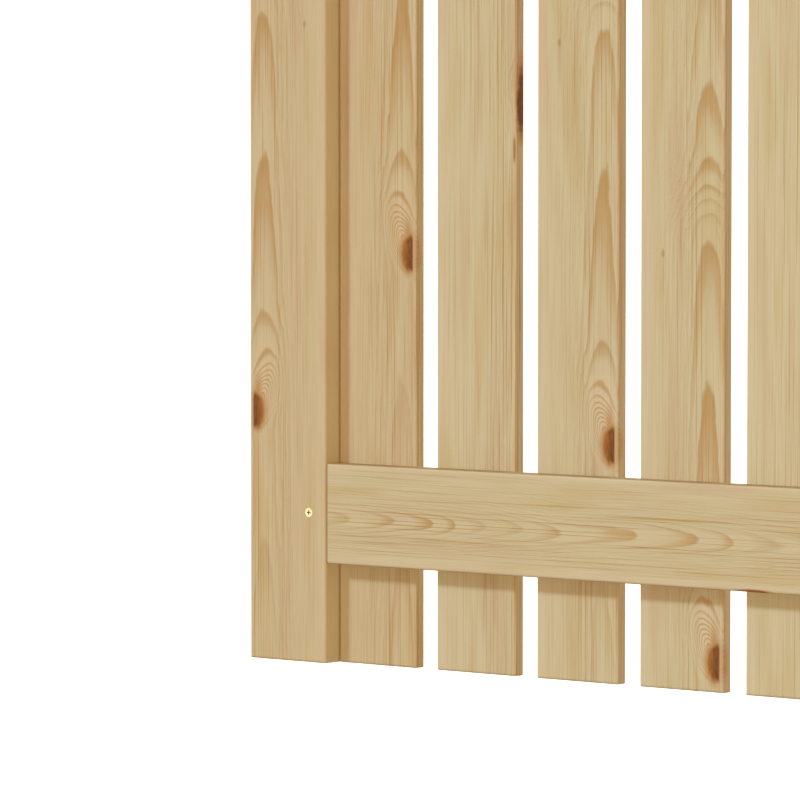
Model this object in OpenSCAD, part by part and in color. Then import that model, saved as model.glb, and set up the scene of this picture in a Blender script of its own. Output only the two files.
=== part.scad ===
// Garden gate: two stiles and two rails of planed pine, mortised together, with upright pickets
// screwed on behind the rails. The leaf hangs on two lift-off strap hinges and closes with a slide bolt.
// X runs across the gate, Y from its front to its back, Z up.
// The origin is the centre of the lower hinge plate's four fixing holes, on the post's front face.

/* [Gate leaf] */
// Width across both stiles
gate_w = 1000; // [700:1:1300]
// Height of stiles and pickets
gate_h = 1200; // [700:1:1900]
// Radius of the rounded arrises on every board
arris_r = 2.5; // [1:0.5:3]

/* [Stiles] */
// Width of a stile, seen from the front
stile_w = 95; // [70:1:130]
// Thickness of a stile
stile_t = 32; // [28:1:50]

/* [Rails] */
// Height of a rail
rail_h = 95; // [70:1:130]
// Thickness of a rail
rail_t = 20; // [16:1:26]
// From the leaf's end to the near edge of its rail, at the bottom and at the top
rail_offset = 95; // [50:1:160]
// How far a tenon goes into its stile
tenon_l = 45; // [30:1:60]
// Thickness of a tenon
tenon_t = 12; // [8:1:14]
// Shoulder above and below a tenon
tenon_shoulder = 14; // [8:1:22]
// Gap on each side of a tenon in its mortise
tenon_gap = 0.2; // [0.1:0.05:0.4]

/* [Pickets] */
// Number of pickets
picket_count = 7; // [4:1:9]
// Gap between two pickets
picket_gap = 24; // [10:1:45]
// Thickness of a picket
picket_t = 12; // [10:1:18]

/* [Wood screws] */
// Radius of a picket screw's shank
screw_r = 2; // [1.5:0.1:2.5]
// Radius of a picket screw's head
screw_head_r = 3.8; // [3.2:0.1:5]
// Wood left between a picket screw's tip and the rail's face
screw_cover = 7; // [5:1:10]
// Distance between the two screws at a crossing, across the picket
screw_pair_w = 50; // [30:1:50]
// Distance between the two screws at a crossing, up the picket
screw_pair_h = 40; // [20:1:45]
// Gap between a screw and its hole
screw_gap = 0.1; // [0.05:0.05:0.2]
// Wood left between the tip of a screw that pins a tenon and the stile's back
pin_screw_cover = 4; // [3:1:8]
// Radius of the heads of the screws that pin the tenons
pin_screw_head_r = 4.3; // [4:0.1:5]
// From a tenon's shoulder to the screw that pins it
pin_screw_inset = 21; // [15:1:25]

/* [Hinges] */
// Radius of a hinge pin
hinge_pin_r = 8; // [6:0.5:8]
// Thickness of the straps and of the plates on the post
strap_t = 5; // [4:0.5:5]
// Height of a strap and its eye
strap_h = 40; // [34:1:50]
// Length of a strap from its pin to its tip
strap_l = 330; // [280:1:360]
// Height of the strap at its tip
strap_tip_h = 26; // [20:1:30]
// Gap around the pin in the strap's eye
eye_gap = 0.08; // [0.02:0.01:0.1]
// From the leaf's edge to the hinge pin
pin_offset = 16; // [15:1:22]
// Height of the knuckle that carries the pin
knuckle_h = 26; // [20:1:32]
// Thickness of the bearing ring between the knuckle and the eye
ring_t = 2; // [1.5:0.5:3]
// How far the pin stands out of the eye
pin_over = 7; // [4:1:12]
// Gap between pieces that turn on each other, along the pin
ring_gap = 0.3; // [0.2:0.05:0.5]

/* [Hinge plates] */
// Width of the plate on the post
plate_w = 42; // [38:1:60]
// Height of the plate on the post
plate_h = 110; // [100:1:140]
// Gap between the eye and the plate
plate_gap = 3; // [2:0.5:6]
// Distance between the plate's holes, across
plate_hole_x = 22; // [18:1:24]
// Distance between the plate's holes, up
plate_hole_z = 84; // [70:1:90]
// Radius of the plate's holes
plate_hole_r = 3.5; // [3:0.25:4]

/* [Hinge fixings] */
// Radius of the carriage bolt
coach_r = 4; // [3:0.5:5]
// Radius of the carriage bolt's domed head
coach_head_r = 9.5; // [8:0.5:11]
// Height of the carriage bolt's domed head
coach_head_h = 4.2; // [3:0.1:5]
// Width of the nut across its flats
nut_af = 13; // [11:0.5:15]
// Thickness of the nut
nut_t = 6.5; // [5:0.5:8]
// Radius of the washer
washer_r = 8.5; // [8:0.5:12]
// Thickness of the washer
washer_t = 1.6; // [1:0.1:2]
// Number of screws along each strap
strap_screws = 4; // [3:1:5]
// From the stile's inner edge to the strap's first screw
strap_screw_start = 17; // [10:1:25]
// Radius of the strap screws' shank
strap_screw_r = 2.5; // [2:0.1:3]
// Radius of the strap screws' head
strap_screw_head_r = 4.8; // [4:0.1:5.5]
// Wood left between a strap screw's tip and the rail's back
strap_screw_cover = 2; // [1:0.5:5]

/* [Slide bolt] */
// From the leaf's top to the bolt's centre
latch_drop = 260; // [240:1:420]
// Radius of the bolt in its sleeve
bolt_r = 7; // [6.5:0.5:8]
// Radius of the bolt's end, which goes into the post's keeper
bolt_end_r = 6; // [4:0.5:6]
// How far the bolt stands out past the leaf when it is shut
bolt_throw = 28; // [20:1:32]
// How far the bolt slides back
bolt_travel = 32; // [26:1:36]
// From the stile's edge to the latch's base plate
base_margin = 5.5; // [4:0.5:9]
// Height of the latch's base plate
base_h = 52; // [48:1:60]
// Thickness of the latch's base plate
base_t = 2.5; // [2:0.5:3]
// Wall of the sleeve that the bolt slides in
sleeve_wall = 2.5; // [2:0.5:3]
// Gap between the bolt and its sleeve
bolt_gap = 0.3; // [0.2:0.05:0.5]
// From the base plate's edges to its screws
base_hole_margin = 7.5; // [6.5:0.5:8]
// Length of the latch's screws
base_screw_l = 20; // [16:1:26]
// Radius of the knob's stem
stem_r = 3.5; // [3:0.5:4]
// Length of the knob's stem
stem_l = 14; // [12:1:18]
// Radius of the knob
knob_r = 9; // [7:0.5:11]

/* [Hidden] */
$fn = 48;
overshoot = 1;

// Boards
lower_rail_z = rail_offset;
upper_rail_z = gate_h - rail_offset - rail_h;
hinge_rise = upper_rail_z - lower_rail_z;
inner_w = gate_w - 2 * stile_w;
picket_w = (inner_w - (picket_count - 1) * picket_gap) / picket_count;
tenon_y = rail_t - tenon_t;
tenon_h = rail_h - 2 * tenon_shoulder;

// Screws
head_slope = 0.9;
screw_l = picket_t + rail_t - screw_cover;
pin_screw_l = stile_t - pin_screw_cover;
strap_screw_l = strap_t + rail_t - strap_screw_cover;
pin_screw_xs = [stile_w - pin_screw_inset, gate_w - stile_w + pin_screw_inset];

// Hinges: the pin's axis, and the leaf's own left, front, bottom corner, in the part's frame
eye_r = hinge_pin_r + eye_gap + strap_t;
pin_x = -plate_w / 2 - plate_gap - eye_r;
pin_y = -eye_r;
leaf_x = pin_x - pin_offset - gate_w;
leaf_z = -lower_rail_z - rail_h / 2;
knuckle_top = -strap_h / 2 - ring_gap - ring_t;
plate_corner_r = 6;
last_strap_screw = strap_l - pin_offset - strap_tip_h / 2;
strap_screw_inset = stile_w + strap_screw_start;
strap_screw_pitch = (last_strap_screw - strap_screw_inset) / (strap_screws - 1);
coach_x = leaf_x + gate_w - (stile_w - tenon_l) / 2;
coach_neck = 2 * coach_r;
coach_tail = 3;
coach_l = strap_t + stile_t + washer_t + nut_t + coach_tail;

// Slide bolt
latch_z = gate_h - latch_drop;
base_w = stile_w - 2 * base_margin;
base_corner_r = 5;
base_hole_x = base_w - 2 * base_hole_margin;
base_hole_z = base_h - 2 * base_hole_margin;
bolt_y = -base_t - bolt_gap - bolt_r;
bolt_back = stile_w - base_margin;
sleeve_r = bolt_r + bolt_gap + sleeve_wall;
sleeve_l = base_w - 2 * base_margin;
knob_x = stile_w / 2 - bolt_travel / 2;
slot_r = stem_r + bolt_gap;
stem_depth = bolt_r * 0.7;

PICKETS = [for (i = [1:picket_count]) str("picket_", i)];

pine = [0.78, 0.69, 0.54];
zinc = [0.72, 0.73, 0.74];
yellow_zinc = [0.8, 0.72, 0.48];

// ---- Placing ----

// Puts a piece that is drawn from the leaf's left, front, bottom corner in its place
module on_leaf() translate([leaf_x, 0, leaf_z]) children();

// Puts a piece that is drawn around a hinge pin's axis, at the middle of its strap, in its place
module on_hinge(rise) translate([pin_x, pin_y, rise]) children();

// Puts a piece that is drawn around the latch's middle, on the stile's front face, in its place
module on_latch() on_leaf() translate([stile_w / 2, 0, latch_z]) children();

// Puts a piece at the left edge of picket i, from the leaf's corner
module at_picket(i) translate([stile_w + (i - 1) * (picket_w + picket_gap), 0, 0]) children();

// Repeats a piece at a crossing's two screws, from the picket's left edge and the rail's mid-height
module screw_pair() {
    for (side = [-1, 1])
        translate([picket_w / 2 + side * screw_pair_w / 2, rail_t + picket_t, -side * screw_pair_h / 2])
            rotate([180, 0, 0]) children();
}

// Repeats a piece along a strap's screws, from the leaf's left edge and the strap's mid-height
module along_strap() {
    for (i = [0:strap_screws - 1])
        translate([gate_w - strap_screw_inset - i * strap_screw_pitch, -strap_t, 0]) children();
}

// Repeats a piece at the four corners of a rectangle that stands in the XZ plane
module four_corners(across, up) {
    for (x = [-across / 2, across / 2], z = [-up / 2, up / 2]) translate([x, 0, z]) children();
}

// ---- Screws ----

// A countersunk screw that points along +Y from its head's face at y = 0, or the hole for one with a gap
module wood_screw(r, head_r, length, gap = 0) {
    head_h = (head_r - r) / head_slope;
    point_h = 2 * r;
    rotate([-90, 0, 0]) {
        translate([0, 0, -gap]) cylinder(h = head_h + gap, r1 = head_r + gap, r2 = r + gap);
        cylinder(h = length - point_h, r = r + gap);
        translate([0, 0, length - point_h]) cylinder(h = point_h + gap, r1 = r + gap, r2 = r / 4 + gap);
    }
}

// A wood screw with a cross recess for its driver
module recessed_screw(r, head_r, length) {
    arm = head_r * 1.1;
    wide = head_r * 0.24;
    deep = head_r * 0.4;
    difference() {
        wood_screw(r, head_r, length);
        for (turn = [0, 90])
            rotate([0, turn, 0]) translate([-arm / 2, -overshoot, -wide / 2])
                cube([arm, deep + overshoot, wide]);
    }
}

// ---- Boards ----

// A rectangle with round corners
module round_rect(across, up, r) {
    translate([r, 0]) square([across - 2 * r, up]);
    translate([0, r]) square([across, up - 2 * r]);
    for (x = [r, across - r], y = [r, up - r]) translate([x, y]) circle(r);
}

// A board with its length along X or Z and every arris rounded
module board(across, deep, up) {
    intersection() {
        linear_extrude(up) round_rect(across, deep, arris_r);
        translate([0, deep, 0]) rotate([90, 0, 0]) linear_extrude(deep) round_rect(across, up, arris_r);
        rotate([90, 0, 90]) linear_extrude(across) round_rect(deep, up, arris_r);
    }
}

// The holes of the two screws that pin one rail's tenons
module pin_screw_holes(z) {
    for (x = pin_screw_xs) translate([x, 0, z + rail_h / 2])
        wood_screw(screw_r, pin_screw_head_r, pin_screw_l, screw_gap);
}

// A stile at x, with a mortise for each rail that starts at mortise_x
module stile(x, mortise_x) {
    difference() {
        translate([x, 0, 0]) board(stile_w, stile_t, gate_h);
        for (z = [lower_rail_z, upper_rail_z]) {
            translate([mortise_x, tenon_y - tenon_gap, z + tenon_shoulder - tenon_gap])
                cube([tenon_l + tenon_gap + overshoot, tenon_t + 2 * tenon_gap, tenon_h + 2 * tenon_gap]);
            pin_screw_holes(z);
        }
    }
}

module left_stile() {
    color(pine) difference() {
        on_leaf() stile(0, stile_w - tenon_l - tenon_gap);
        on_latch() translate([0, -base_t, 0]) four_corners(base_hole_x, base_hole_z)
            wood_screw(screw_r, screw_head_r, base_screw_l, screw_gap);
    }
}

module right_stile() {
    color(pine) difference() {
        on_leaf() stile(gate_w - stile_w, gate_w - stile_w - overshoot);
        for (rise = [0, hinge_rise]) translate([coach_x, -overshoot, rise]) rotate([-90, 0, 0])
            cylinder(h = stile_t + 2 * overshoot, r = coach_r + screw_gap);
    }
}

// A rail from stile to stile, with a tenon at each end and a hole for each screw
module rail(z) {
    color(pine) on_leaf() difference() {
        union() {
            translate([stile_w, 0, z]) board(inner_w, rail_t, rail_h);
            translate([stile_w - tenon_l, tenon_y, z + tenon_shoulder])
                cube([inner_w + 2 * tenon_l, tenon_t, tenon_h]);
        }
        pin_screw_holes(z);
        translate([0, 0, z + rail_h / 2]) {
            for (i = [1:picket_count]) at_picket(i) screw_pair()
                wood_screw(screw_r, screw_head_r, screw_l, screw_gap);
            along_strap() wood_screw(strap_screw_r, strap_screw_head_r, strap_screw_l, screw_gap);
        }
    }
}

module picket(i) {
    color(pine) on_leaf() at_picket(i) difference() {
        translate([0, rail_t, 0]) board(picket_w, picket_t, gate_h);
        for (z = [lower_rail_z, upper_rail_z]) translate([0, 0, z + rail_h / 2])
            screw_pair() wood_screw(screw_r, screw_head_r, screw_l, screw_gap);
    }
}

// The screws that hold the pickets to one rail, driven from the back
module picket_screws(z) {
    color(yellow_zinc) on_leaf() translate([0, 0, z + rail_h / 2])
        for (i = [1:picket_count]) at_picket(i) screw_pair() recessed_screw(screw_r, screw_head_r, screw_l);
}

// The screws that pin the four tenons, driven from the front
module tenon_screws() {
    color(yellow_zinc) on_leaf() for (x = pin_screw_xs, z = [lower_rail_z, upper_rail_z])
        translate([x, 0, z + rail_h / 2]) recessed_screw(screw_r, pin_screw_head_r, pin_screw_l);
}

// ---- Hinges ----

// The outline of a strap seen from the front: straight, then narrower to a round tip
module strap_outline() {
    tip_x = -strap_l + strap_tip_h / 2;
    polygon([[0, -strap_h / 2], [0, strap_h / 2], [-strap_l / 2, strap_h / 2],
        [tip_x, strap_tip_h / 2], [tip_x, -strap_tip_h / 2], [-strap_l / 2, -strap_h / 2]]);
    translate([tip_x, 0]) circle(strap_tip_h / 2);
}

// A strap whose end is rolled into an eye around the pin
module hinge_strap(rise) {
    neck_hole = coach_neck + 2 * screw_gap;
    color(zinc) difference() {
        on_hinge(rise) {
            translate([0, eye_r, 0]) rotate([90, 0, 0]) linear_extrude(strap_t) strap_outline();
            translate([0, 0, -strap_h / 2]) cylinder(h = strap_h, r = eye_r);
        }
        on_hinge(rise) translate([0, 0, -strap_h / 2 - overshoot])
            cylinder(h = strap_h + 2 * overshoot, r = hinge_pin_r + eye_gap);
        translate([leaf_x, 0, rise]) along_strap()
            wood_screw(strap_screw_r, strap_screw_head_r, strap_screw_l, screw_gap);
        translate([coach_x, -strap_t / 2, rise]) cube([neck_hole, strap_t + overshoot, neck_hole], center = true);
    }
}

// The plate on the post, with a knuckle low on its side that carries the pin
module hinge_plate(rise) {
    color(zinc) translate([0, 0, rise]) difference() {
        union() {
            rotate([90, 0, 0]) linear_extrude(strap_t)
                translate([-plate_w / 2, -plate_h / 2]) round_rect(plate_w, plate_h, plate_corner_r);
            translate([pin_x, -strap_t, knuckle_top - knuckle_h]) cube([-pin_x, strap_t, knuckle_h]);
            translate([pin_x, pin_y, knuckle_top - knuckle_h]) cylinder(h = knuckle_h, r = eye_r);
        }
        translate([pin_x, pin_y, knuckle_top - knuckle_h - overshoot])
            cylinder(h = knuckle_h + 2 * overshoot, r = hinge_pin_r + eye_gap);
        four_corners(plate_hole_x, plate_hole_z) rotate([90, 0, 0])
            translate([0, 0, -overshoot]) cylinder(h = strap_t + 2 * overshoot, r = plate_hole_r);
    }
}

// The pin, with a coned top that helps the strap onto it
module hinge_pin(rise) {
    cone_h = 3;
    straight_h = knuckle_h - knuckle_top + strap_h / 2 + pin_over - cone_h;
    color(zinc) on_hinge(rise) translate([0, 0, knuckle_top - knuckle_h]) {
        cylinder(h = straight_h, r = hinge_pin_r);
        translate([0, 0, straight_h]) cylinder(h = cone_h, r1 = hinge_pin_r, r2 = hinge_pin_r - cone_h);
    }
}

// The brass ring between the knuckle and the strap's eye
module bearing_ring(rise) {
    color("goldenrod") on_hinge(rise) translate([0, 0, knuckle_top]) difference() {
        cylinder(h = ring_t, r = eye_r - ring_gap);
        translate([0, 0, -overshoot]) cylinder(h = ring_t + 2 * overshoot, r = hinge_pin_r + eye_gap);
    }
}

// The bolt by the eye: a domed head, a square neck in the strap, and a shank through the stile
module carriage_bolt(rise) {
    dome_r = (coach_head_r * coach_head_r + coach_head_h * coach_head_h) / (2 * coach_head_h);
    color(zinc) translate([coach_x, -strap_t, rise]) {
        translate([0, strap_t / 2, 0]) cube([coach_neck, strap_t, coach_neck], center = true);
        rotate([-90, 0, 0]) cylinder(h = coach_l, r = coach_r);
        rotate([90, 0, 0]) intersection() {
            translate([0, 0, coach_head_h - dome_r]) sphere(dome_r);
            cylinder(h = 2 * coach_head_h, r = 2 * coach_head_r);
        }
    }
}

// Puts a piece that is drawn along +Z on both carriage bolts, from the stile's back face
module behind_stile() {
    for (rise = [0, hinge_rise]) translate([coach_x, stile_t, rise]) rotate([-90, 0, 0]) children();
}

module hinge_washers() {
    color(zinc) behind_stile() difference() {
        cylinder(h = washer_t, r = washer_r);
        translate([0, 0, -overshoot]) cylinder(h = washer_t + 2 * overshoot, r = coach_r + screw_gap);
    }
}

module hinge_nuts() {
    corner_r = nut_af / 2 / cos(30);
    color(zinc) behind_stile() translate([0, 0, washer_t]) difference() {
        cylinder(h = nut_t, r = corner_r, $fn = 6);
        translate([0, 0, -overshoot]) cylinder(h = nut_t + 2 * overshoot, r = coach_r + screw_gap);
    }
}

module strap_screw_row(rise) {
    color(zinc) translate([leaf_x, 0, rise]) along_strap()
        recessed_screw(strap_screw_r, strap_screw_head_r, strap_screw_l);
}

// ---- Slide bolt ----

module latch_plate() {
    color(zinc) on_latch() difference() {
        rotate([90, 0, 0]) linear_extrude(base_t)
            translate([-base_w / 2, -base_h / 2]) round_rect(base_w, base_h, base_corner_r);
        translate([0, -base_t, 0]) four_corners(base_hole_x, base_hole_z)
            wood_screw(screw_r, screw_head_r, base_screw_l, screw_gap);
    }
}

// The outline of an arch on straight legs, drawn from its round middle
module arch(r, leg) {
    circle(r);
    translate([-r, 0]) square([2 * r, leg]);
}

// The arched sleeve that the bolt slides in, slotted along its front for the knob's stem
module latch_sleeve() {
    leg = -bolt_y - base_t;
    color(zinc) on_latch() translate([0, bolt_y, 0]) difference() {
        translate([-sleeve_l / 2, 0, 0]) rotate([0, 90, 0]) linear_extrude(sleeve_l) difference() {
            arch(sleeve_r, leg);
            arch(bolt_r + bolt_gap, leg + overshoot);
            translate([-sleeve_r - overshoot, leg]) square([2 * sleeve_r + 2 * overshoot, sleeve_r]);
        }
        for (x = [-bolt_travel / 2, bolt_travel / 2]) translate([x, 0, 0]) rotate([90, 0, 0])
            cylinder(h = sleeve_r + overshoot, r = slot_r);
        translate([-bolt_travel / 2, -sleeve_r - overshoot, -slot_r])
            cube([bolt_travel, sleeve_r + overshoot, 2 * slot_r]);
    }
}

// The bolt, shut: a turned-down end past the leaf's edge, and a socket for the knob's stem
module latch_bolt() {
    nose = 1.5;
    color(zinc) on_leaf() translate([0, bolt_y, latch_z]) difference() {
        rotate([0, 90, 0]) {
            cylinder(h = bolt_back, r = bolt_r);
            translate([0, 0, nose - bolt_throw]) cylinder(h = bolt_throw - nose, r = bolt_end_r);
            translate([0, 0, -bolt_throw]) cylinder(h = nose, r1 = bolt_end_r - nose, r2 = bolt_end_r);
        }
        translate([knob_x, stem_depth - bolt_r, 0]) rotate([90, 0, 0])
            cylinder(h = stem_depth + overshoot, r = stem_r + screw_gap);
    }
}

// The ball knob and its stem, which screws into the bolt
module latch_knob() {
    collar_h = 2;
    collar_at = sleeve_r + 2 * bolt_gap;
    ball_at = bolt_r + stem_l + knob_r * 0.7;
    color(zinc) on_leaf() translate([knob_x, bolt_y, latch_z]) rotate([90, 0, 0]) rotate_extrude() {
        translate([0, bolt_r - stem_depth]) square([stem_r, stem_l + stem_depth]);
        translate([0, collar_at]) square([stem_r + collar_h, collar_h]);
        translate([0, ball_at]) intersection() {
            circle(knob_r);
            translate([0, -knob_r]) square([knob_r, 2 * knob_r]);
        }
    }
}

module latch_screws() {
    color(zinc) on_latch() translate([0, -base_t, 0]) four_corners(base_hole_x, base_hole_z)
        recessed_screw(screw_r, screw_head_r, base_screw_l);
}

// ---- Nodes ----

left_stile();
right_stile();
rail(lower_rail_z);  // bottom_rail
rail(upper_rail_z);  // top_rail
for (i = [1:picket_count]) picket(i);
picket_screws(lower_rail_z);  // bottom_rail_screws
picket_screws(upper_rail_z);  // top_rail_screws
tenon_screws();
hinge_plate(0);  // lower_hinge_plate
hinge_plate(hinge_rise);  // upper_hinge_plate
hinge_pin(0);  // lower_hinge_pin
hinge_pin(hinge_rise);  // upper_hinge_pin
bearing_ring(0);  // lower_bearing_ring
bearing_ring(hinge_rise);  // upper_bearing_ring
hinge_strap(0);  // lower_hinge_strap
hinge_strap(hinge_rise);  // upper_hinge_strap
carriage_bolt(0);  // lower_carriage_bolt
carriage_bolt(hinge_rise);  // upper_carriage_bolt
hinge_washers();
hinge_nuts();
strap_screw_row(0);  // lower_strap_screws
strap_screw_row(hinge_rise);  // upper_strap_screws
latch_plate();
latch_sleeve();
latch_bolt();
latch_knob();
latch_screws();
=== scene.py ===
"""Garden gate: looks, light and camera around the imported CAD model."""

import math

import bpy
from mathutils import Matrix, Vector


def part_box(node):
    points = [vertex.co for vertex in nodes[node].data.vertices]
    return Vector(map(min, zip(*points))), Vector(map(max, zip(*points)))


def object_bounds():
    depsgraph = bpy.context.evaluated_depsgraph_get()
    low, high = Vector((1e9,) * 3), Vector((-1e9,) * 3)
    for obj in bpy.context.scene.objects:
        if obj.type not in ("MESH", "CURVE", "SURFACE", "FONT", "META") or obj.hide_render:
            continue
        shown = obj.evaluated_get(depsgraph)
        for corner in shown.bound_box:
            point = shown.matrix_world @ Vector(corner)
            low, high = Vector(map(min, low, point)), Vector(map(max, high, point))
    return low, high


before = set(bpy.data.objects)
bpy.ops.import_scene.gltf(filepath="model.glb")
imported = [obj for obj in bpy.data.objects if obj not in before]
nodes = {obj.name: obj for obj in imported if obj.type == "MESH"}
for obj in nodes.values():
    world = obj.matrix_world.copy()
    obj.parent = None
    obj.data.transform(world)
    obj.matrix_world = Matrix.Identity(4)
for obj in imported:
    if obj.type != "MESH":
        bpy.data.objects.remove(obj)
cad_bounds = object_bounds()
scene = bpy.context.scene

# The frame is in metres. The wood is described in mm.
MM = 1000.0


# ---------------------------------------------------------------- camera

# Fitted to the edges in the photo. Place and clipping are in metres, lens and sensor in mm.
CAMERA_PLACE = (2.5149, -4.0658, 0.3838)
CAMERA_YAW = 39.75
CAMERA_PITCH = -2.96
LEVEL_TILT = 90.0
CAMERA_LENS = 255.3
SENSOR = 36.0
CLIP_START = 0.05
CLIP_END = 200.0


def add_camera():
    """The photo's viewpoint, with no lens shift, roll or depth of field."""
    data = bpy.data.cameras.new("photo_camera")
    data.sensor_width = SENSOR
    data.lens = CAMERA_LENS
    data.clip_start = CLIP_START
    data.clip_end = CLIP_END
    camera = bpy.data.objects.new("photo_camera", data)
    camera.location = CAMERA_PLACE
    tilt = math.radians(LEVEL_TILT + CAMERA_PITCH)
    camera.rotation_euler = (tilt, 0.0, math.radians(CAMERA_YAW))
    scene.collection.objects.link(camera)
    scene.camera = camera


add_camera()


# ---------------------------------------------------------------- node helpers


def linear(colour):
    """An sRGB colour of 0 to 255 as linear red, green, blue and alpha."""
    out = []
    for channel in colour:
        c = channel / 255.0
        out.append(c / 12.92 if c <= 0.04045 else ((c + 0.055) / 1.055) ** 2.4)
    return (*out, 1.0)


# The numbers of a Mix node's sockets when it mixes colours.
MIX_FACTOR = 0
MIX_A = 6
MIX_B = 7
MIX_RESULT = 2


class Graph:
    """A material's node tree, with one short call for each kind of node."""

    def __init__(self, name):
        self.material = bpy.data.materials.new(name)
        self.material.use_nodes = True
        self.tree = self.material.node_tree
        self.shader = self.tree.nodes["Principled BSDF"]

    def put(self, socket, value):
        """Links a socket, or sets a plain value."""
        if isinstance(value, bpy.types.NodeSocket):
            self.tree.links.new(value, socket)
        else:
            socket.default_value = value

    def set(self, name, value):
        """Links or sets one of the shader's own sockets."""
        self.put(self.shader.inputs[name], value)

    def math(self, operation, a, b=None, c=None):
        node = self.tree.nodes.new("ShaderNodeMath")
        node.operation = operation
        for index, value in enumerate((a, b, c)):
            if value is not None:
                self.put(node.inputs[index], value)
        return node.outputs[0]

    def add(self, a, b):
        return self.math("ADD", a, b)

    def sub(self, a, b):
        return self.math("SUBTRACT", a, b)

    def mul(self, a, b):
        return self.math("MULTIPLY", a, b)

    def div(self, a, b):
        return self.math("DIVIDE", a, b)

    def times_add(self, a, b, c):
        """a times b, plus c."""
        return self.math("MULTIPLY_ADD", a, b, c)

    def square(self, a):
        return self.math("MULTIPLY", a, a)

    def size(self, a):
        return self.math("ABSOLUTE", a)

    def least(self, a, b):
        return self.math("MINIMUM", a, b)

    def most(self, a, b):
        return self.math("MAXIMUM", a, b)

    def centred(self, share):
        """A share of 0 to 1 as -0.5 to 0.5."""
        return self.sub(share, 0.5)

    def falling(self, total):
        """1 where total is 0, and towards 0 as it grows."""
        return self.math("EXPONENT", self.mul(total, -1.0))

    def bell(self, value, width):
        """1 where value is 0, falling off smoothly on both sides."""
        return self.falling(self.square(self.div(value, width)))

    def map_range(self, value, low, high):
        """A Map Range node from low and high to 0 and 1."""
        node = self.tree.nodes.new("ShaderNodeMapRange")
        self.put(node.inputs["Value"], value)
        node.inputs["From Min"].default_value = low
        node.inputs["From Max"].default_value = high
        return node

    def step(self, value, low, high):
        """0 at low, 1 at high, smooth between. High may be the smaller one."""
        node = self.map_range(value, low, high)
        node.interpolation_type = "SMOOTHSTEP"
        return node.outputs["Result"]

    def fade(self, value, low, high):
        """1 below low, 0 above high, smooth between."""
        return self.sub(1.0, self.step(value, low, high))

    def scale_to(self, value, low, high, to_low, to_high):
        """Low to high as to_low to to_high, in proportion."""
        node = self.map_range(value, low, high)
        node.inputs["To Min"].default_value = to_low
        node.inputs["To Max"].default_value = to_high
        return node.outputs["Result"]

    def point(self, x, y, z):
        node = self.tree.nodes.new("ShaderNodeCombineXYZ")
        for index, value in enumerate((x, y, z)):
            self.put(node.inputs[index], value)
        return node.outputs[0]

    def noise(self, place, detail, roughness, scale=1.0):
        node = self.tree.nodes.new("ShaderNodeTexNoise")
        self.put(node.inputs["Vector"], place)
        node.inputs["Scale"].default_value = scale
        node.inputs["Detail"].default_value = detail
        node.inputs["Roughness"].default_value = roughness
        return node.outputs["Fac"]

    def cells(self, place, scale):
        """A random colour for each Voronoi cell."""
        node = self.tree.nodes.new("ShaderNodeTexVoronoi")
        self.put(node.inputs["Vector"], place)
        node.inputs["Scale"].default_value = scale
        return node.outputs["Color"]

    def random(self, value):
        """A fixed random number of 0 to 1 for each value."""
        node = self.tree.nodes.new("ShaderNodeTexWhiteNoise")
        node.noise_dimensions = "1D"
        self.put(node.inputs["W"], value)
        return node.outputs["Value"]

    def mix(self, factor, a, b, blend="MIX"):
        """Colour a turned into colour b by factor."""
        node = self.tree.nodes.new("ShaderNodeMix")
        node.data_type = "RGBA"
        node.blend_type = blend
        self.put(node.inputs[MIX_FACTOR], factor)
        self.put(node.inputs[MIX_A], a)
        self.put(node.inputs[MIX_B], b)
        return node.outputs[MIX_RESULT]

    def tint(self, factor, colour, tint):
        """Colour multiplied by tint, by factor."""
        return self.mix(factor, colour, tint, "MULTIPLY")

    def curve(self, value, points):
        """A smooth curve through points, both axes 0 to 1."""
        node = self.tree.nodes.new("ShaderNodeFloatCurve")
        line = node.mapping.curves[0]
        line.points[0].location = points[0]
        line.points[-1].location = points[-1]
        for place in points[1:-1]:
            line.points.new(*place)
        node.mapping.update()
        self.put(node.inputs["Value"], value)
        return node.outputs[0]

    def bump(self, height, strength, distance):
        node = self.tree.nodes.new("ShaderNodeBump")
        node.inputs["Strength"].default_value = strength
        node.inputs["Distance"].default_value = distance
        self.put(node.inputs["Height"], height)
        self.set("Normal", node.outputs[0])

    def coordinates(self, kind="Object"):
        """A kind of coordinates as a vector, and its x, y and z."""
        node = self.tree.nodes.new("ShaderNodeTexCoord")
        split = self.tree.nodes.new("ShaderNodeSeparateXYZ")
        self.put(split.inputs[0], node.outputs[kind])
        return node.outputs[kind], split.outputs


# ---------------------------------------------------------------- pine: where a point is

X, Y, Z = 0, 1, 2


def board_axes(board):
    """The axis along a board and the axis across its face."""
    return (Z, X) if board["upright"] else (X, Z)


def board_place(g, board):
    """Along, across and into the board, in mm. Along starts at the shared plank's knot."""
    _, axes = g.coordinates()
    low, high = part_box(board["node"])
    lengthwise, crosswise = board_axes(board)
    along = g.mul(g.sub(axes[lengthwise], low[lengthwise]), MM)
    along = g.sub(along, board["knot_at"])
    if board["mirror"]:
        across = g.mul(g.sub(high[crosswise], axes[crosswise]), MM)
    else:
        across = g.mul(g.sub(axes[crosswise], low[crosswise]), MM)
    depth = g.mul(g.sub(axes[Y], low[Y]), MM)
    return along, across, depth


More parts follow.
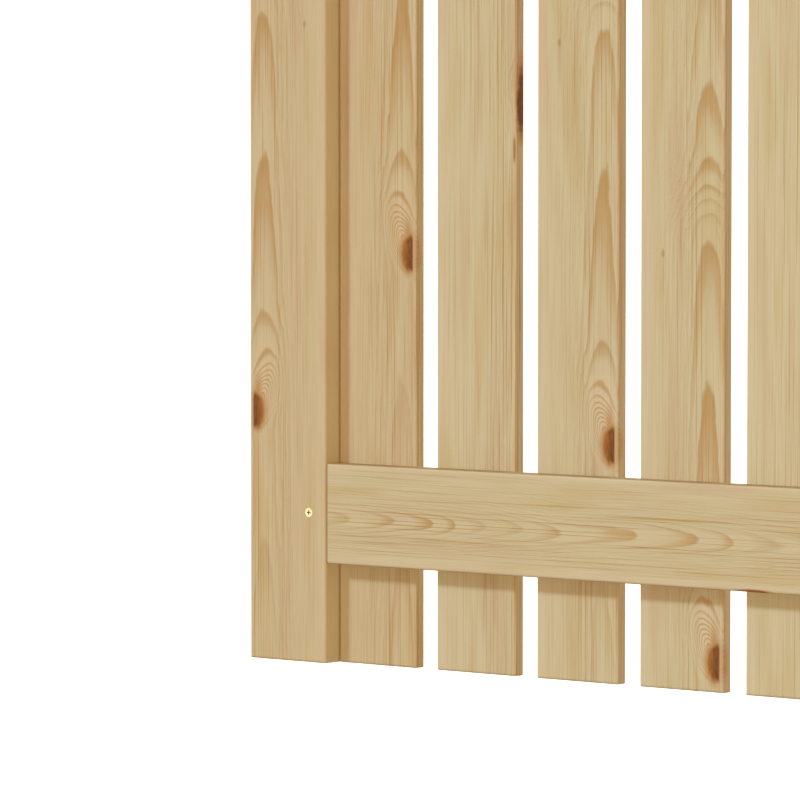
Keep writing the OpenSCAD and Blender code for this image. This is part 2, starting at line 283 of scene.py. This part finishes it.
# Each noise in the wood: its steps per mm along and across the grain, what it adds to the seed,
# its detail and its roughness.
DRIFT = (0.006, 0.02, 0.0, 1.0, 0.5)
RIPPLE = (0.035, 0.09, 2.0, 2.0, 0.5)
WAVE = (0.02, 0.30, 4.0, 2.0, 0.5)
FIBRE = (0.010, 0.6, 0.0, 4.0, 0.72)
SPECK = (0.5, 2.4, 0.0, 1.0, 0.5)
THREAD = (0.004, 0.62, 5.0, 2.0, 0.6)
TINGE = (0.004, 0.035, 9.0, 2.0, 0.5)
KNOT_OUTLINE = (0.05, 0.14, 0.0, 3.0, 0.6)
KNOT_STREAK = (0.09, 0.35, 6.0, 3.0, 0.6)


def grain_noise(g, kind, place, seed, solid=False):
    """Noise drawn out along the grain. Solid noise also changes into the board."""
    along, across, depth = place
    along_step, across_step, offset, detail, roughness = kind
    third = seed + offset
    if solid:
        third = g.times_add(depth, across_step, third)
    spot = g.point(g.mul(along, along_step), g.mul(across, across_step), third)
    return g.noise(spot, detail, roughness)


# ---------------------------------------------------------------- pine: growth rings

# The trunk behind a plank's face: ring width, pith depth, and the ridge's place across, in mm.
RING = 2.8
PITH_DEPTH = 54.0
RIDGE = 77.0

# Heights of the cathedral tips along the shared plank, in mm from its knot.
PLANK_TIPS = (-560, -410, -250, -112, 57, 103, 262, 384, 405, 418, 431, 458, 530, 640, 760)
PLANK_FIRST_RING = -3

# The middle of a knot's pull on the rings, from the knot itself, and its reach each way, in mm.
PULL_UP = 6.0
PULL_INWARD = 4.0
REACH_ABOVE = 29.0
REACH_BELOW = 17.0
REACH_ASIDE = 14.5
REACH_DEEP = 60.0

# How wide the arches' tips are rounded (mm squared), and the same for the point on each tip.
TIP_ROUNDING = 30.0
POINT_ROUNDING = 5.0

# A wave in the rings comes in over this distance from the ridge, in mm. Its height is in rings.
WAVE_RANGE = (4.0, 26.0)
WAVE_RINGS = 0.9


def ridge_rings(g, along, tips, first_ring):
    """The ring number at the ridge of the cathedral, for a height along the plank."""
    low = tips[0]
    span = tips[-1] - low
    count = len(tips) - 1
    points = [((tip - low) / span, index / count) for index, tip in enumerate(tips)]
    share = g.div(g.sub(along, low), span)
    return g.times_add(g.curve(share, points), count, first_ring)


def knot_pull(g, place, knot):
    """How many rings a knot pulls in: most at its middle, leaning towards the ridge above it."""
    along, across, depth = place
    up = g.sub(along, knot["at"] + PULL_UP)
    aside = g.times_add(up, knot["lean"], g.sub(across, knot["across"] - PULL_INWARD))
    above = g.div(g.most(up, 0.0), REACH_ABOVE)
    below = g.div(g.least(up, 0.0), REACH_BELOW)
    total = g.add(g.square(above), g.square(below))
    total = g.add(total, g.square(g.div(aside, REACH_ASIDE)))
    total = g.add(total, g.square(g.div(depth, REACH_DEEP)))
    return g.mul(g.falling(total), knot["pull"])


def trunk_rings(g, board, along, aside, depth):
    """The ring number in a round trunk that leans, so that its pith is deeper further up."""
    rings = ridge_rings(g, along, board["tips"], board["first_ring"])
    pith = g.sub(g.times_add(rings, board["ring"], board["pith"]), depth)
    round_tip = g.div(g.square(aside), g.add(g.square(aside), TIP_ROUNDING))
    radius = g.math("SQRT", g.add(g.square(g.mul(aside, round_tip)), g.square(pith)))
    number = g.div(g.sub(radius, board["pith"]), board["ring"])
    crest = g.math("SQRT", g.times_add(aside, aside, POINT_ROUNDING))
    return g.times_add(crest, board["point"], number)


def growth_rings(g, board, place):
    """The ring number, bent by slow noise and by the knots, and the distance from the ridge."""
    along, across, depth = place
    seed = board["seed"]
    slow = grain_noise(g, DRIFT, place, seed)
    drift = g.mul(g.centred(slow), board["sway"])
    aside = g.sub(g.add(across, drift), board["ridge"])
    number = trunk_rings(g, board, along, aside, depth)
    ripple = grain_noise(g, RIPPLE, place, seed)
    number = g.times_add(g.centred(ripple), board["ripple"], number)
    for knot in board["knots"]:
        number = g.sub(number, knot_pull(g, place, knot))
    far = g.step(g.size(aside), *WAVE_RANGE)
    wave = grain_noise(g, WAVE, place, seed)
    number = g.times_add(g.mul(g.centred(wave), far), WAVE_RINGS, number)
    return number, aside


# ---------------------------------------------------------------- pine: clear wood

EARLYWOOD = linear((217, 207, 179))
LATEWOOD = linear((186, 156, 104))
PALE_EDGE = linear((224, 211, 186))
PINK_TINGE = linear((250, 243, 240))
YELLOW_TINGE = linear((248, 242, 226))
FLAME = linear((198, 156, 98))

# Shares of one ring: where its dark edge ends, and where its flame starts and ends.
RING_END = (0.86, 1.0)
FLAME_START = (0.46, 0.76)
FLAME_END = (0.82, 1.0)

# The half of the face around the ridge, whose lines are bolder, in mm.
HALF_WIDTH = 42.0

# Over this depth in mm the rings lose this share, so that they're quiet on the sawn sides.
SIDE_DEPTH = (1.0, 7.0)
SIDE_LOSS = 0.65

# A ring's boldness: its mean, a slow wave from year to year, and a random part.
YEAR_WAVE = (1.1, -0.63)
BOLD_WAVE = 0.28
BOLD_MEAN = 0.62
BOLD_RANDOM = 0.20

# Ring strength near the ridge, more over the bold half, and least elsewhere.
RING_NEAR = 0.50
RING_HALF = 0.54
RING_LEAST = 0.06

# Fine rings between the bold ones: how many more, how sharp, and how strong.
FINE_COUNT = 2.7
FINE_SHARP = 1.2
FINE_HALF = 0.30
FINE_LEAST = 0.08

# How strong the fibres and specks are, and the range of noise over which a thread darkens.
FIBRE_STRENGTH = 0.85
SPECK_STRENGTH = 0.36
THREAD_RANGE = (0.54, 0.66)

# A flame's strength: its ring's boldness times the first, plus the second.
FLAME_BY_BOLDNESS = (1.1, -0.35)

# The stretch above the shared plank's knot where the grain curls round it, in mm, and its looks.
CURL_RISE = (0.0, 10.0)
CURL_FALL = (50.0, 90.0)
CURL_DARK = 0.55
CURL_PALE = 0.50

# Pale bands at a face's two edges, in mm across, and their strength.
PALE_BAND = (6.0, 15.0)
PALE_STRENGTH = 0.45
STRIP_START = (90.2, 91.0)
STRIP_END = (92.6, 93.4)
STRIP_STRENGTH = 0.40

# The slow tinge noise turns the wood pink above its middle and yellow below it.
PINK_RANGE = (0.5, 0.72)
YELLOW_RANGE = (0.5, 0.28)


def latewood(g, number, sharp):
    """Dark at the outer edge of each ring and fading inwards."""
    part = g.math("FRACT", number)
    rise = g.math("POWER", part, sharp)
    return g.mul(rise, g.fade(part, *RING_END))


def flame_band(g, number):
    """The dark half of each ring, soft at both edges."""
    part = g.math("FRACT", number)
    return g.mul(g.step(part, *FLAME_START), g.fade(part, *FLAME_END))


def ring_boldness(g, number):
    """How bold each ring is, from year to year."""
    year = g.math("FLOOR", number)
    wave = g.math("SINE", g.times_add(year, *YEAR_WAVE))
    boldness = g.times_add(wave, BOLD_WAVE, BOLD_MEAN)
    return g.times_add(g.random(year), BOLD_RANDOM, boldness)


def ring_lines(g, board, number, boldness, near, half, inward):
    """The dark lines of the rings, and the fine ones between them away from the ridge."""
    rings = g.mul(latewood(g, number, board["sharp"]), g.mul(boldness, board["bold"]))
    around = g.times_add(half, RING_HALF, RING_LEAST)
    rings = g.mul(rings, g.times_add(g.mul(near, inward), RING_NEAR, around))
    rings = g.mul(rings, inward)
    fine = latewood(g, g.mul(number, FINE_COUNT), FINE_SHARP)
    around = g.times_add(half, FINE_HALF, FINE_LEAST)
    fine = g.mul(fine, g.mul(g.sub(1.0, near), around))
    return g.add(rings, fine)


def texture(g, board, place, fibre, half):
    """Fibres, specks and long dark threads."""
    specks = grain_noise(g, SPECK, place, 0.0, solid=True)
    thread = grain_noise(g, THREAD, place, board["seed"], solid=True)
    amount = g.times_add(half, board["lines"], board["spread"])
    threads = g.mul(g.step(thread, *THREAD_RANGE), amount)
    fibres = g.mul(g.centred(fibre), FIBRE_STRENGTH)
    specks = g.mul(g.centred(specks), SPECK_STRENGTH)
    return g.add(g.add(fibres, specks), threads)


def add_flames(g, colour, board, number, boldness, ridge):
    """The orange flames inside the cathedral arches."""
    flame = g.mul(g.mul(flame_band(g, number), ridge), board["flame"])
    strength = g.times_add(boldness, *FLAME_BY_BOLDNESS)
    return g.mix(g.mul(flame, strength), colour, FLAME)


def add_curls(g, colour, along, number, ridge):
    """Close dark and pale arches just above the shared plank's knot."""
    stretch = g.mul(g.step(along, *CURL_RISE), g.fade(along, *CURL_FALL))
    curl = g.mul(stretch, ridge)
    dark = g.mul(flame_band(g, number), curl)
    colour = g.mix(g.mul(dark, CURL_DARK), colour, FLAME)
    pale = g.mul(g.sub(1.0, flame_band(g, number)), curl)
    return g.mix(g.mul(pale, CURL_PALE), colour, PALE_EDGE)


def add_pale_edges(g, colour, across):
    """A pale band at one edge of the face, and a thin pale strip by the other."""
    band = g.fade(across, *PALE_BAND)
    colour = g.mix(g.mul(band, PALE_STRENGTH), colour, PALE_EDGE)
    strip = g.mul(g.step(across, *STRIP_START), g.fade(across, *STRIP_END))
    return g.mix(g.mul(strip, STRIP_STRENGTH), colour, PALE_EDGE)


def add_tinges(g, colour, board, place):
    """The board's own tone, with slow pink and yellow patches."""
    colour = g.tint(1.0, colour, board["tone"])
    tinge = grain_noise(g, TINGE, place, board["seed"])
    colour = g.tint(g.step(tinge, *PINK_RANGE), colour, PINK_TINGE)
    return g.tint(g.step(tinge, *YELLOW_RANGE), colour, YELLOW_TINGE)


def clear_wood(g, board, place, fibre):
    """The colour of the wood without its knots, and how dark its grain is."""
    along, across, depth = place
    number, aside = growth_rings(g, board, place)
    near = g.bell(aside, board["crest"])
    half = g.bell(aside, HALF_WIDTH)
    inward = g.times_add(g.step(depth, *SIDE_DEPTH), -SIDE_LOSS, 1.0)
    boldness = ring_boldness(g, number)
    lines = ring_lines(g, board, number, boldness, near, half, inward)
    amount = g.add(lines, texture(g, board, place, fibre, half))
    colour = g.mix(g.most(amount, 0.0), EARLYWOOD, LATEWOOD)
    ridge = g.mul(near, inward)
    colour = add_flames(g, colour, board, number, boldness, ridge)
    if board["curls"]:
        colour = add_curls(g, colour, along, number, ridge)
    colour = add_pale_edges(g, colour, across)
    return add_tinges(g, colour, board, place), amount


# ---------------------------------------------------------------- pine: knots

KNOT_HEART = linear((166, 108, 52))
KNOT_RIM = linear((104, 56, 20))
KNOT_HALO = linear((190, 138, 70))

# A knot is cut off this far past its middle, in mm across, because the board's edge is near.
KNOT_CUT = (1.5, 4.0)

# Radii, in shares of the knot's own, where its body and the halo around it end.
BODY_END = (0.72, 1.12)
HALO_END = (0.80, 1.60)
HALO_PAST_CUT = 0.5
HALO_MOST = 0.85

# The halo's tail up the grain: its rise and end along, its depth, its place across and its width.
TAIL_RISE = (0.0, 12.0)
TAIL_END = (14.0, 46.0)
TAIL_DEPTH = (2.0, 8.0)
TAIL_INWARD = 3.0
TAIL_WIDTH = 4.5

# The dark rim is on the knot's right. It starts this share of its width left of the middle.
RIM_START = 0.85
RIM_STRENGTH = 0.85
STREAK_STRENGTH = 1.8


def knot_radius(g, place, knot):
    """The distance from a knot's middle in shares of its half sizes, with a rough outline."""
    along, across, depth = place
    rough = grain_noise(g, KNOT_OUTLINE, place, knot["at"])
    total = g.square(g.div(g.sub(along, knot["at"]), knot["tall"]))
    total = g.add(total, g.square(g.div(g.sub(across, knot["across"]), knot["wide"])))
    total = g.add(total, g.square(g.div(g.sub(depth, knot["sunk"]), knot["deep"])))
    return g.times_add(g.centred(rough), knot["rough"], g.math("SQRT", total))


def knot_tail(g, place, knot):
    """The orange streak that the grain carries up from a knot."""
    along, across, depth = place
    up = g.sub(along, knot["at"])
    stretch = g.mul(g.step(up, *TAIL_RISE), g.fade(up, *TAIL_END))
    line = g.bell(g.sub(across, knot["across"] - TAIL_INWARD), TAIL_WIDTH)
    tail = g.mul(g.mul(stretch, line), g.fade(depth, *TAIL_DEPTH))
    return g.mul(tail, knot["tail"])


def knot_heart(g, place, knot):
    """The colour inside a knot: orange, with streaks and a darker right side."""
    _, across, _ = place
    streaks = grain_noise(g, KNOT_STREAK, place, knot["at"])
    right = g.step(across, knot["across"] - RIM_START * knot["wide"], knot["across"])
    dark = g.add(g.mul(right, RIM_STRENGTH), g.mul(g.centred(streaks), STREAK_STRENGTH))
    dark = g.add(dark, knot["dark"])
    return g.mix(g.least(g.most(dark, 0.0), 1.0), KNOT_HEART, KNOT_RIM)


def add_knot(g, colour, place, knot):
    """A knot's halo, and its body over that."""
    _, across, _ = place
    radius = knot_radius(g, place, knot)
    cut_start, cut_end = KNOT_CUT
    inside = g.fade(across, knot["across"] + cut_start, knot["across"] + cut_end)
    around = g.times_add(inside, 1.0 - HALO_PAST_CUT, HALO_PAST_CUT)
    halo = g.mul(g.fade(radius, *HALO_END), around)
    halo = g.most(halo, knot_tail(g, place, knot))
    halo = g.mul(halo, min(knot["strength"], HALO_MOST))
    colour = g.mix(halo, colour, KNOT_HALO)
    body = g.mul(g.fade(radius, *BODY_END), inside)
    return g.mix(g.mul(body, knot["strength"]), colour, knot_heart(g, place, knot))


# ---------------------------------------------------------------- pine: sides, ends and painted shade

# The side tints are partly the sawn edges' own colour and partly painted shade on the shaded sides.
# The rails' edge tint is mostly painted shade along their top and bottom. End grain is its own
# darker colour.
STILE_SIDE_TINT = (0.885, 0.888, 0.872, 1.0)
PICKET_SIDE_TINT = (0.81, 0.75, 0.69, 1.0)
RAIL_EDGE_TINT = (0.62, 0.48, 0.34, 1.0)
END_TINT = (0.80, 0.70, 0.58, 1.0)

# A face counts as a side or an end over this range of its normal.
FACING = (0.6, 0.95)

# Painted shade on a stile's inner side, over this depth in mm and this near its widest, in mm.
CORNER_SHADE = linear((146, 92, 52))
CORNER_DEPTH = (17.4, 19.8)
CORNER_NEAR = (0.6, 0.2)
CORNER_STRENGTH = 0.35

# Painted shade in the grooves at a rail's shoulders, this near to them in mm.
SHOULDER_SHADE = linear((128, 92, 56))
JOINT_NEAR = (3.4, 1.2)
JOINT_STRENGTH = 0.8

INNER_WIDTH = (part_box("right_stile")[0][0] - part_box("left_stile")[1][0]) * MM


def is_stile(board):
    """Stiles have their own side colour, and painted shade in their inner corner."""
    return board["node"].endswith("stile")


def face_tints(g, colour, board):
    """End grain is a little darker than the planed faces. The sides and edges are darker partly by
    their own colour and partly by painted shade.
    """
    _, normal = g.coordinates("Normal")
    lengthwise, crosswise = board_axes(board)
    side = g.step(g.size(normal[crosswise]), *FACING)
    end = g.step(g.size(normal[lengthwise]), *FACING)
    tint = PICKET_SIDE_TINT if board["upright"] else RAIL_EDGE_TINT
    if is_stile(board):
        tint = STILE_SIDE_TINT
    colour = g.mix(side, colour, g.tint(1.0, colour, tint))
    return g.mix(end, colour, g.tint(1.0, colour, END_TINT))


def from_middle(g, board):
    """The distance from a board's middle along X, in mm."""
    _, axes = g.coordinates()
    low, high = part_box(board["node"])
    middle = (low[X] + high[X]) / 2.0
    return g.mul(g.size(g.sub(axes[X], middle)), MM)


def near_reach(g, out, reach, near):
    """0 to 1 as the distance out comes near reach."""
    start, end = near
    return g.step(out, reach - start, reach - end)


def corner_painted_shade(g, colour, board, depth):
    """Painted shade along the corner where the next picket meets a stile's inner side."""
    low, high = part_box(board["node"])
    half = (high[X] - low[X]) / 2.0 * MM
    edge = near_reach(g, from_middle(g, board), half, CORNER_NEAR)
    corner = g.mul(g.step(depth, *CORNER_DEPTH), edge)
    return g.mix(g.mul(corner, CORNER_STRENGTH), colour, CORNER_SHADE)


def shoulder_painted_shade(g, colour, board):
    """Painted shade in the grooves where a rail's shoulders meet the stiles."""
    edge = near_reach(g, from_middle(g, board), INNER_WIDTH / 2.0, JOINT_NEAR)
    return g.mix(g.mul(edge, JOINT_STRENGTH), colour, SHOULDER_SHADE)


# ---------------------------------------------------------------- pine: the material

# The fibre noise of 0.3 to 0.7 as roughness.
FIBRE_SPAN = (0.3, 0.7)
PINE_ROUGHNESS = (0.50, 0.66)
PINE_SPECULAR = 0.15

# The grooves: their parts, the bump's strength and its depth in metres.
GROOVE_FIBRE = 0.6
GROOVE_GRAIN = 0.4
GROOVE_STRENGTH = 0.25
GROOVE_DEPTH = 0.0004


def pine(board):
    """Planed pine for one board, from a trunk of growth rings that runs behind its face."""
    g = Graph("pine_" + board["node"])
    place = board_place(g, board)
    fibre = grain_noise(g, FIBRE, place, board["seed"], solid=True)
    colour, amount = clear_wood(g, board, place, fibre)
    for knot in board["knots"]:
        colour = add_knot(g, colour, place, knot)
    colour = face_tints(g, colour, board)
    # Painted shade along a stile's inner corner.
    if is_stile(board):
        colour = corner_painted_shade(g, colour, board, place[2])
    # Painted shade in the grooves at a rail's shoulders.
    if not board["upright"]:
        colour = shoulder_painted_shade(g, colour, board)
    g.set("Base Color", colour)
    g.set("Roughness", g.scale_to(fibre, *FIBRE_SPAN, *PINE_ROUGHNESS))
    g.set("Specular IOR Level", PINE_SPECULAR)
    grooves = g.add(g.mul(fibre, GROOVE_FIBRE), g.mul(amount, GROOVE_GRAIN))
    g.bump(grooves, GROOVE_STRENGTH, GROOVE_DEPTH)
    return g.material


# ---------------------------------------------------------------- the boards

# A knot's half sizes along, across and into the board, and how it bends the grain, in mm.
KNOT = {
    "tall": 17.0,
    "wide": 11.0,
    "deep": 7.0,
    "sunk": 0.0,
    "pull": 8.0,
    "lean": 0.42,
    "tail": 0.9,
    "dark": 0.0,
    "strength": 0.93,
    "rough": 0.40,
}
STREAK = {"pull": 0.0, "tail": 0.0}


def knot(at, across, **changes):
    """A knot at a place on its board, in mm. By default it is the shared plank's."""
    return {**KNOT, "at": at, "across": across, **changes}


PLANK_KNOT = knot(0.0, 87.5)
PIN_KNOT = knot(367.0, 26.0, tall=3.4, wide=1.8, deep=3.0, pull=0.2, tail=0.0, strength=0.22)
PIN_STREAK = knot(350.0, 26.0, tall=22.0, wide=1.2, deep=3.0, strength=0.09, **STREAK)
EDGE_KNOT = knot(
    297.0, 97.0, tall=36.0, wide=4.6, sunk=7.0, pull=0.8, tail=0.4, dark=0.75, rough=1.1
)
EDGE_STREAK = knot(250.0, 92.5, tall=12.0, wide=1.4, deep=4.0, strength=0.45, **STREAK)
RAIL_STREAK = knot(499.0, 0.5, wide=2.0, deep=5.0, strength=0.7, **STREAK)

# Tones that a board's colour is multiplied by.
PLAIN = (1.0, 1.0, 1.0, 1.0)
PALE = (1.03, 1.08, 1.13, 1.0)
PALEST = (1.05, 1.12, 1.18, 1.0)

# The shared plank: its trunk, how much noise bends it, and how strong each part of its look is.
PLANK = {
    "mirror": False,
    "upright": True,
    "tips": PLANK_TIPS,
    "first_ring": PLANK_FIRST_RING,
    "ring": RING,
    "pith": PITH_DEPTH,
    "ridge": RIDGE,
    "knots": (PLANK_KNOT, PIN_KNOT, PIN_STREAK),
    "sway": 8.0,
    "ripple": 0.30,
    "point": 0.008,
    "crest": 15.0,
    "sharp": 2.6,
    "bold": 1.0,
    "flame": 0.56,
    "curls": True,
    "lines": 0.52,
    "spread": 0.14,
    "tone": PLAIN,
}
# A board cut beside the arches: straight grain with many threads, and no flames.
STRAIGHT_GRAIN = {
    "tips": (-400, 140, 520, 880, 1300),
    "ridge": 104.0,
    "ripple": 0.15,
    "crest": 8.0,
    "bold": 1.05,
    "flame": 0.0,
    "curls": False,
    "lines": 0.70,
    "spread": 0.40,
}
# The rails lie along X, and their arches are closer and sharper.
RAIL_GRAIN = {
    "upright": False,
    "tips": (-60, 40, 91, 136, 162, 199, 244, 292, 379, 448, 482, 539, 700, 900),
    "first_ring": 0,
    "ring": 2.0,
    "pith": 17.0,
    "sway": 14.0,
    "point": 0.03,
    "crest": 8.0,
    "sharp": 4.0,
    "bold": 1.10,
    "flame": 0.55,
    "curls": False,
    "lines": 0.62,
    "tone": PALE,
}


def board(node, knot_at, seed, **changes):
    """One board's settings. Knot_at is the height of the plank's knot on it, in mm."""
    return {**PLANK, "node": node, "knot_at": knot_at, "seed": seed, **changes}


BOARDS = (
    board("left_stile", 237, 1.0, mirror=True),
    board("picket_1", 389, 2.0),
    board("picket_2", 237, 3.0, knots=(EDGE_KNOT, EDGE_STREAK), tone=PALE, **STRAIGHT_GRAIN),
    board("picket_3", 218, 4.0, tone=PALE),
    board("picket_4", 27, 5.0, tone=PALE),
    board("picket_5", 100, 6.0, knots=(), tone=PALEST, **STRAIGHT_GRAIN),
    board("picket_6", 540, 7.0, tone=PALE),
    board("picket_7", 300, 8.0, mirror=True, tone=PALE),
    board("right_stile", 420, 9.0),
    board("bottom_rail", 45, 10.0, knots=(RAIL_STREAK,), ridge=43.0, **RAIL_GRAIN),
    board("top_rail", 200, 11.0, knots=(), ridge=50.0, **RAIL_GRAIN),
)


def set_material(name, material):
    """Gives a CAD node one material in place of its own."""
    materials = nodes[name].data.materials
    materials.clear()
    materials.append(material)


for item in BOARDS:
    set_material(item["node"], pine(item))


# ---------------------------------------------------------------- metal

# Painted shade where the surface closes in on itself within this distance, in metres.
RECESS_SHADE = linear((58, 50, 34))
RECESS_SIZE = 0.003
RECESS_SAMPLES = 8
RECESS_OPEN = 0.80
RECESS_CLOSED = 0.35
RECESS_STRENGTH = 0.85

# The slow stains and the fine scratches: detail, roughness and steps per metre.
STAIN = (3.0, 0.6, 60.0)
SCRATCH = (2.0, 0.5, 900.0)

# How much of the plating's colour the cells and the stains make, and the bump's depth in metres.
CELL_PART = 0.35
STAIN_PART = 0.65
STAIN_SPAN = (0.3, 0.7)
METAL_BUMP = 0.12
METAL_BUMP_DEPTH = 0.0003


def recess_painted_shade(g, colour):
    """Painted shade in the driver recesses, where the metal closes in on itself."""
    node = g.tree.nodes.new("ShaderNodeAmbientOcclusion")
    node.samples = RECESS_SAMPLES
    node.only_local = True
    node.inputs["Distance"].default_value = RECESS_SIZE
    closed = g.step(node.outputs["AO"], RECESS_OPEN, RECESS_CLOSED)
    return g.mix(g.mul(closed, RECESS_STRENGTH), colour, RECESS_SHADE)


def metal(name, light, dark, roughness, cell_scale, metallic=1.0):
    """A metal with patchy plating: cells, slow stains and fine scratches."""
    g = Graph(name)
    place, _ = g.coordinates()
    patches = g.cells(place, cell_scale)
    stains = g.noise(place, *STAIN)
    factor = g.add(g.mul(patches, CELL_PART), g.mul(stains, STAIN_PART))
    colour = g.mix(factor, linear(light), linear(dark))
    # Part-metallic finishes get painted shade in their recesses.
    if metallic < 1.0:
        colour = recess_painted_shade(g, colour)
    g.set("Base Color", colour)
    g.set("Metallic", metallic)
    g.set("Roughness", g.scale_to(stains, *STAIN_SPAN, *roughness))
    scratches = g.noise(place, *SCRATCH)
    g.bump(g.add(scratches, stains), METAL_BUMP, METAL_BUMP_DEPTH)
    return g.material


GALVANISED = metal("galvanised", (158, 162, 166), (104, 110, 117), (0.34, 0.55), 160.0)
YELLOW_ZINC = metal("yellow_zinc", (244, 236, 194), (226, 210, 150), (0.28, 0.42), 500.0, 0.5)
BRASS = metal("brass_ring", (214, 180, 110), (170, 132, 70), (0.30, 0.48), 300.0)


def finish_metal():
    """Screws are yellow zinc, bearing rings brass, and the rest galvanised."""
    wooden = {item["node"] for item in BOARDS}
    for name in nodes:
        if name in wooden:
            continue
        look = GALVANISED
        if name.endswith("_screws"):
            look = YELLOW_ZINC
        if name.endswith("_bearing_ring"):
            look = BRASS
        set_material(name, look)


finish_metal()


# ---------------------------------------------------------------- stage

# Metres, apart from the count of the rim's points, the colours and the glows.
STAGE_RADIUS = 30.0
FLOOR_GAP = 0.05
RIM_POINTS = 64
STAGE_GREY = (0.9, 0.9, 0.9, 1.0)
STAGE_ROUGHNESS = 0.9
WHITE = (1.0, 1.0, 1.0, 1.0)
FLOOR_GLOW = 0.8
BACKDROP_GLOW = 1.1


def stage_mesh(name, points, faces, glow):
    """One glowing part of the stage, which the camera and the gloss see but the rest doesn't."""
    mesh = bpy.data.meshes.new(name)
    mesh.from_pydata(points, [], faces)
    thing = bpy.data.objects.new(name, mesh)
    scene.collection.objects.link(thing)
    g = Graph(name)
    g.set("Base Color", STAGE_GREY)
    g.set("Roughness", STAGE_ROUGHNESS)
    g.set("Emission Color", WHITE)
    g.set("Emission Strength", glow)
    mesh.materials.append(g.material)
    thing.visible_diffuse = False
    thing.visible_transmission = False
    thing.visible_shadow = False


def rim_at(height):
    """Points on the stage's rim at a height."""
    turn = 2.0 * math.pi / RIM_POINTS
    angles = [index * turn for index in range(RIM_POINTS)]
    return [(STAGE_RADIUS * math.cos(a), STAGE_RADIUS * math.sin(a), height) for a in angles]


def add_stage():
    """A pale floor and a round backdrop that meets it. They show and reflect, but light nothing."""
    rim = rim_at(cad_bounds[0][2] - FLOOR_GAP)
    top = rim_at(STAGE_RADIUS)
    count = RIM_POINTS
    stage_mesh("floor", rim, [tuple(range(count))], FLOOR_GLOW)
    walls = [(i, (i + 1) % count, count + (i + 1) % count, count + i) for i in range(count)]
    ceiling = tuple(range(count, 2 * count))
    stage_mesh("backdrop", rim + top, [*walls, ceiling], BACKDROP_GLOW)


add_stage()


# ---------------------------------------------------------------- light

# Each sun: degrees left of the front and up that it stands, strength, colour, softness in degrees.
KEY = ((35.0, 35.5), 1.25, (0.87, 1.0, 1.05), 8.0)
RIGHT_FILL = ((-48.0, 6.0), 1.10, (1.0, 0.65, 0.335), 20.0)
BACK_FILL = ((200.0, 35.0), 1.2, (1.0, 0.97, 0.92), 30.0)
SKY_COLOUR = (1.0, 0.76, 0.465, 1.0)
SKY_STRENGTH = 0.378


def aim(yaw, height):
    """The direction that light travels, from yaw degrees left of the front and height degrees up."""
    flat = math.cos(math.radians(height))
    side = math.sin(math.radians(yaw)) * flat
    front = math.cos(math.radians(yaw)) * flat
    return (side, front, -math.sin(math.radians(height)))


def add_sun(name, stand, strength, colour, softness):
    """A distant soft light."""
    data = bpy.data.lights.new(name, "SUN")
    data.energy = strength
    data.color = colour
    data.angle = math.radians(softness)
    lamp = bpy.data.objects.new(name, data)
    lamp.rotation_euler = Vector(aim(*stand)).to_track_quat("-Z", "Y").to_euler()
    scene.collection.objects.link(lamp)
    return lamp


def add_light():
    """A key light, two fills and a warm sky. The right fill throws no shadow."""
    add_sun("key", *KEY)
    fill = add_sun("right_fill", *RIGHT_FILL)
    fill.data.use_shadow = False
    add_sun("back_fill", *BACK_FILL)
    world = bpy.data.worlds.new("studio")
    world.use_nodes = True
    sky = world.node_tree.nodes["Background"]
    sky.inputs["Color"].default_value = SKY_COLOUR
    sky.inputs["Strength"].default_value = SKY_STRENGTH
    scene.world = world


add_light()
scene.view_settings.view_transform = "Standard"
scene.view_settings.look = "None"
